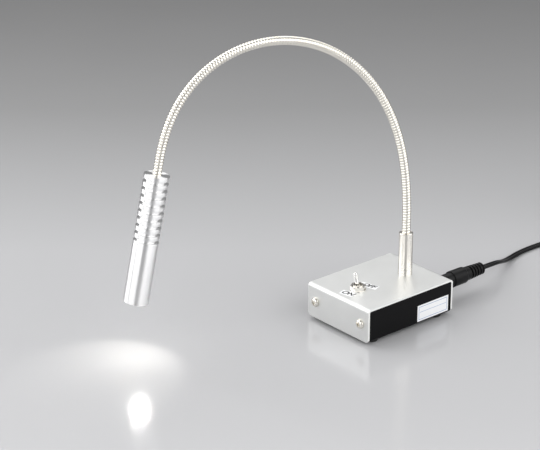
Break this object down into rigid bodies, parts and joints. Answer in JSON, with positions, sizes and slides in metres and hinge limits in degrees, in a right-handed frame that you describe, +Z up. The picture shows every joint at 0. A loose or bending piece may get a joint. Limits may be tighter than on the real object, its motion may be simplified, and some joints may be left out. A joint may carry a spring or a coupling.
{
  "type": "gooseneck bench illuminator",
  "caption": "Small weighted metal case with a toggle switch, a bendable ribbed neck and a finned spot lamp at its end, fed by a low-voltage lead.",
  "frame": {"origin": "middle of the case's footprint, on the surface that its feet stand on", "axes": "+Z up, +Y along the case from the switch end to the supply socket end, +X towards the side with the label; the neck arches over the switch end, turned 18 degrees towards -X"},
  "size_m": [0.1074, 0.4137, 0.1729],
  "materials": {
    "case_aluminium": "satin anodised sheet",
    "tray_black": "fine matt black paint",
    "screw_nickel": "bright nickel plate",
    "foot_rubber": "matt",
    "ballast_steel": "zinc plated",
    "stem_nickel": "polished nickel plate",
    "neck_steel": "polished nickel plate, ribbed",
    "lamp_aluminium": "fine turned, clear anodised",
    "board_white": "white solder mask on aluminium",
    "emitter_yellow": "phosphor under a clear dome",
    "spacer_black": "moulded",
    "lens_clear": "clear acrylic",
    "lead_insulation": "extruded",
    "switch_plastic": "moulded",
    "contact_brass": "silver plated brass",
    "board_green": "solder mask",
    "socket_black": "moulded",
    "cord_black": "soft moulded vinyl",
    "tie_black": "flat band",
    "adapter_black": "fine spark texture",
    "label_white": "blank film label"
  },
  "bodies": {
    "case": {"ballast_plate": "ballast_steel", "ballast_screws": "screw_nickel", "board_components": "spacer_black", "board_pad": "foot_rubber", "bottom_tray": "tray_black", "cover_screws": "screw_nickel", "driver_board": "board_green", "hookup_wires": "lead_insulation", "label_plate": "label_white", "neck_link_01": "neck_steel", "rubber_feet": "foot_rubber", "socket_contacts": "contact_brass", "socket_nut": "screw_nickel", "stem_nut": "screw_nickel", "stem_sleeve": "stem_nickel", "stem_washer": "screw_nickel", "supply_socket": "socket_black", "switch_body": "switch_plastic", "switch_bushing": "screw_nickel", "switch_nut": "screw_nickel", "switch_terminals": "contact_brass", "switch_washer": "screw_nickel", "top_cover": "case_aluminium"},
    "neck_02": {"neck_link_02": "neck_steel"},
    "neck_03": {"neck_link_03": "neck_steel"},
    "neck_04": {"neck_link_04": "neck_steel"},
    "neck_05": {"neck_link_05": "neck_steel"},
    "neck_06": {"neck_link_06": "neck_steel"},
    "neck_07": {"neck_link_07": "neck_steel"},
    "neck_08": {"neck_link_08": "neck_steel"},
    "neck_09": {"neck_link_09": "neck_steel"},
    "neck_10": {"neck_link_10": "neck_steel"},
    "neck_11": {"neck_link_11": "neck_steel"},
    "neck_12": {"neck_link_12": "neck_steel"},
    "neck_13": {"neck_link_13": "neck_steel"},
    "neck_14": {"neck_link_14": "neck_steel"},
    "neck_15": {"neck_link_15": "neck_steel"},
    "neck_16": {"neck_link_16": "neck_steel"},
    "neck_17": {"neck_link_17": "neck_steel"},
    "lamp": {"neck_link_18": "neck_steel", "lamp_body": "lamp_aluminium", "emitter_board": "board_white", "emitter": "emitter_yellow", "lens_spacer": "spacer_black", "lens": "lens_clear", "lens_ring": "lamp_aluminium", "lamp_leads": "lead_insulation"},
    "lever": {"switch_lever": "screw_nickel"},
    "supply_lead": {"plug_barrel_tube": "screw_nickel", "plug_moulding": "cord_black", "supply_cord": "cord_black", "cord_coil": "cord_black", "cord_tie": "tie_black", "cord_tail": "cord_black", "cord_grommet": "cord_black", "adapter_base": "adapter_black", "adapter_lid": "adapter_black", "adapter_blades": "screw_nickel", "adapter_board": "board_green"}
  },
  "joints": [
    {"name": "neck_lower_bend_01", "type": "hinge", "parent": "case", "child": "neck_02", "pos_m": [0.0015, 0.0175, 0.06239], "axis": [0.9511, -0.309, 0], "range_deg": [-14, 2]},
    {"name": "neck_lower_bend_02", "type": "hinge", "parent": "neck_02", "child": "neck_03", "pos_m": [0.00125, 0.01674, 0.07726], "axis": [0.9511, -0.309, 0], "range_deg": [-14, 2]},
    {"name": "neck_lower_sway_03", "type": "hinge", "parent": "neck_03", "child": "neck_04", "pos_m": [0.00064, 0.01485, 0.09201], "axis": [-0.3062, -0.9425, -0.134], "range_deg": [-15, 15]},
    {"name": "neck_lower_bend_04", "type": "hinge", "parent": "neck_04", "child": "neck_05", "pos_m": [-0.00045, 0.01151, 0.10648], "axis": [0.9511, -0.309, 0], "range_deg": [-14, 2]},
    {"name": "neck_lower_sway_05", "type": "hinge", "parent": "neck_05", "child": "neck_06", "pos_m": [-0.00207, 0.00651, 0.12041], "axis": [-0.2891, -0.8899, -0.3528], "range_deg": [-15, 15]},
    {"name": "neck_lower_bend_06", "type": "hinge", "parent": "neck_06", "child": "neck_07", "pos_m": [-0.00428, -0.00029, 0.13347], "axis": [0.9511, -0.309, 0], "range_deg": [-14, 2]},
    {"name": "neck_top_bend_07", "type": "hinge", "parent": "neck_07", "child": "neck_08", "pos_m": [-0.00709, -0.00895, 0.14525], "axis": [0.9511, -0.309, 0], "range_deg": [-12, 4]},
    {"name": "neck_top_bend_08", "type": "hinge", "parent": "neck_08", "child": "neck_09", "pos_m": [-0.01049, -0.01939, 0.15531], "axis": [0.9511, -0.309, 0], "range_deg": [-12, 4]},
    {"name": "neck_top_bend_09", "type": "hinge", "parent": "neck_09", "child": "neck_10", "pos_m": [-0.0144, -0.03143, 0.16315], "axis": [0.9511, -0.309, 0], "range_deg": [-12, 4]},
    {"name": "neck_top_bend_10", "type": "hinge", "parent": "neck_10", "child": "neck_11", "pos_m": [-0.01871, -0.0447, 0.16833], "axis": [0.9511, -0.309, 0], "range_deg": [-12, 4]},
    {"name": "neck_top_bend_11", "type": "hinge", "parent": "neck_11", "child": "neck_12", "pos_m": [-0.02327, -0.05872, 0.17045], "axis": [0.9511, -0.309, 0], "range_deg": [-12, 4]},
    {"name": "lamp_end_bend_12", "type": "hinge", "parent": "neck_12", "child": "neck_13", "pos_m": [-0.02785, -0.07283, 0.16924], "axis": [0.9511, -0.309, 0], "range_deg": [-13, 4]},
    {"name": "lamp_end_bend_13", "type": "hinge", "parent": "neck_13", "child": "neck_14", "pos_m": [-0.03222, -0.08629, 0.16461], "axis": [0.9511, -0.309, 0], "range_deg": [-13, 4]},
    {"name": "lamp_end_sway_14", "type": "hinge", "parent": "neck_14", "child": "neck_15", "pos_m": [-0.03612, -0.0983, 0.15673], "axis": [-0.1638, -0.504, 0.848], "range_deg": [-15, 15]},
    {"name": "lamp_end_bend_15", "type": "hinge", "parent": "neck_15", "child": "neck_16", "pos_m": [-0.03932, -0.10814, 0.14602], "axis": [0.9511, -0.309, 0], "range_deg": [-13, 4]},
    {"name": "lamp_end_sway_16", "type": "hinge", "parent": "neck_16", "child": "neck_17", "pos_m": [-0.04166, -0.11534, 0.1332], "axis": [-0.2661, -0.819, 0.5084], "range_deg": [-15, 15]},
    {"name": "lamp_end_bend_17", "type": "hinge", "parent": "neck_17", "child": "lamp", "pos_m": [-0.04315, -0.11991, 0.11911], "axis": [0.9511, -0.309, 0], "range_deg": [-13, 4]},
    {"name": "switch_throw", "type": "hinge", "parent": "case", "child": "lever", "pos_m": [0, -0.0175, 0.0224], "axis": [-1, 0, 0], "range_deg": [0, 26]},
    {"name": "plug_pull", "type": "slide", "parent": "case", "child": "supply_lead", "axis": [0, 1, 0], "range_m": [0, 0.012]}
  ],
  "couplings": [
    {"joint": "neck_lower_bend_02", "follows": "neck_lower_bend_01", "ratio": 1},
    {"joint": "neck_lower_bend_04", "follows": "neck_lower_bend_01", "ratio": 1},
    {"joint": "neck_lower_sway_05", "follows": "neck_lower_sway_03", "ratio": 1},
    {"joint": "neck_lower_bend_06", "follows": "neck_lower_bend_01", "ratio": 1},
    {"joint": "neck_top_bend_08", "follows": "neck_top_bend_07", "ratio": 1},
    {"joint": "neck_top_bend_09", "follows": "neck_top_bend_07", "ratio": 1},
    {"joint": "neck_top_bend_10", "follows": "neck_top_bend_07", "ratio": 1},
    {"joint": "neck_top_bend_11", "follows": "neck_top_bend_07", "ratio": 1},
    {"joint": "lamp_end_bend_13", "follows": "lamp_end_bend_12", "ratio": 1},
    {"joint": "lamp_end_bend_15", "follows": "lamp_end_bend_12", "ratio": 1},
    {"joint": "lamp_end_sway_16", "follows": "lamp_end_sway_14", "ratio": 1},
    {"joint": "lamp_end_bend_17", "follows": "lamp_end_bend_12", "ratio": 1}
  ]
}
